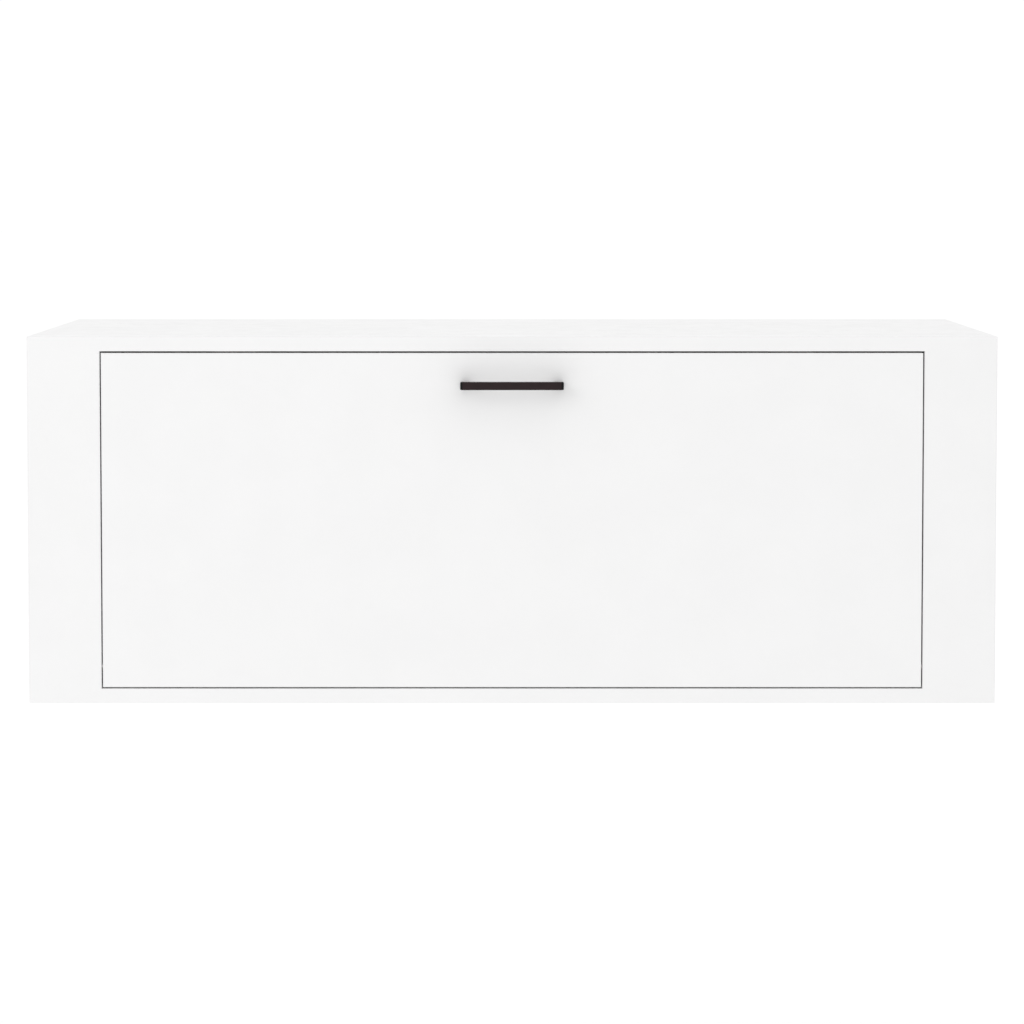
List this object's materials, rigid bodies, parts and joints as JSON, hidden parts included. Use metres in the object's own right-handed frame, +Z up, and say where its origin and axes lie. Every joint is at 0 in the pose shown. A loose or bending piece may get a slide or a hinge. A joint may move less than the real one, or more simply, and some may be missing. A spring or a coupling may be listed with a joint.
{
  "type": "wall-hung secretary desk",
  "caption": "Low, wide wall-hung white desk cabinet. Its front drops on pivots and slotted stays to lie level as a writing surface before a shelf and pigeonholes.",
  "frame": {"origin": "on the wall plane, at the middle of the upper hanging rail's rear face", "axes": "+X to the right as one faces the desk, +Y into the wall, +Z up; the front faces -Y"},
  "size_m": [1, 0.378, 0.38],
  "materials": {
    "white_board": "white melamine-faced particle board with matching thin edge bands, satin",
    "white_hardboard": "hardboard painted white on its face, matt",
    "plated_steel": "bright zinc plate, satin",
    "zinc_alloy": "cast zinc alloy, dull",
    "black_lacquer": "black powder coat on steel bar, satin",
    "white_nylon": "moulded natural nylon, matt",
    "ferrite": "ground ferrite magnet, matt"
  },
  "bodies": {
    "cabinet": {"top_panel": "white_board", "bottom_panel": "white_board", "desk_board": "white_board", "shelf": "white_board", "upper_hanging_rail": "white_board", "lower_back_rail": "white_board", "back_panel": "white_hardboard", "left_side_panel": "white_board", "left_front_stile": "white_board", "left_partition": "white_board", "left_divider": "white_board", "left_pivot_pin": "plated_steel", "left_stay_plate": "plated_steel", "left_plate_screw_1": "plated_steel", "left_plate_screw_2": "plated_steel", "left_stay_stud": "plated_steel", "left_catch_screw_1": "plated_steel", "left_catch_screw_2": "plated_steel", "left_magnet_catch": "white_nylon", "left_catch_magnet": "ferrite", "cam_fitting_left_bottom_front": "zinc_alloy", "cam_fitting_left_bottom_rear": "zinc_alloy", "cam_fitting_left_top_front": "zinc_alloy", "cam_fitting_left_top_rear": "zinc_alloy", "right_side_panel": "white_board", "right_front_stile": "white_board", "right_partition": "white_board", "right_divider": "white_board", "right_pivot_pin": "plated_steel", "right_stay_plate": "plated_steel", "right_plate_screw_1": "plated_steel", "right_plate_screw_2": "plated_steel", "right_stay_stud": "plated_steel", "right_catch_screw_1": "plated_steel", "right_catch_screw_2": "plated_steel", "right_magnet_catch": "white_nylon", "right_catch_magnet": "ferrite", "cam_fitting_right_bottom_front": "zinc_alloy", "cam_fitting_right_bottom_rear": "zinc_alloy", "cam_fitting_right_top_front": "zinc_alloy", "cam_fitting_right_top_rear": "zinc_alloy"},
    "fall_front_body": {"fall_front": "white_board", "pull_handle": "black_lacquer", "left_pull_screw": "plated_steel", "left_pivot_bush": "white_nylon", "left_strike_plate": "plated_steel", "left_stay_bracket": "plated_steel", "left_bracket_screw_1": "plated_steel", "left_bracket_screw_2": "plated_steel", "left_stay_rivet": "plated_steel", "right_pull_screw": "plated_steel", "right_pivot_bush": "white_nylon", "right_strike_plate": "plated_steel", "right_stay_bracket": "plated_steel", "right_bracket_screw_1": "plated_steel", "right_bracket_screw_2": "plated_steel", "right_stay_rivet": "plated_steel"},
    "left_stay": {"left_stay_arm": "plated_steel"},
    "right_stay": {"right_stay_arm": "plated_steel"}
  },
  "joints": [
    {"name": "fall_front_hinge", "type": "hinge", "parent": "cabinet", "child": "fall_front_body", "pos_m": [0, -0.3425, -0.28721], "axis": [1, 0, 0], "range_deg": [0, 90]},
    {"name": "left_stay_hinge", "type": "hinge", "parent": "fall_front_body", "child": "left_stay", "pos_m": [-0.41945, -0.3265, -0.14813], "axis": [1, 0, 0], "range_deg": [-45, 0]},
    {"name": "right_stay_hinge", "type": "hinge", "parent": "fall_front_body", "child": "right_stay", "pos_m": [0.41945, -0.3265, -0.14813], "axis": [1, 0, 0], "range_deg": [-45, 0]}
  ],
  "couplings": [
    {"joint": "left_stay_hinge", "follows": "fall_front_hinge", "ratio": -0.5},
    {"joint": "right_stay_hinge", "follows": "fall_front_hinge", "ratio": -0.5}
  ]
}
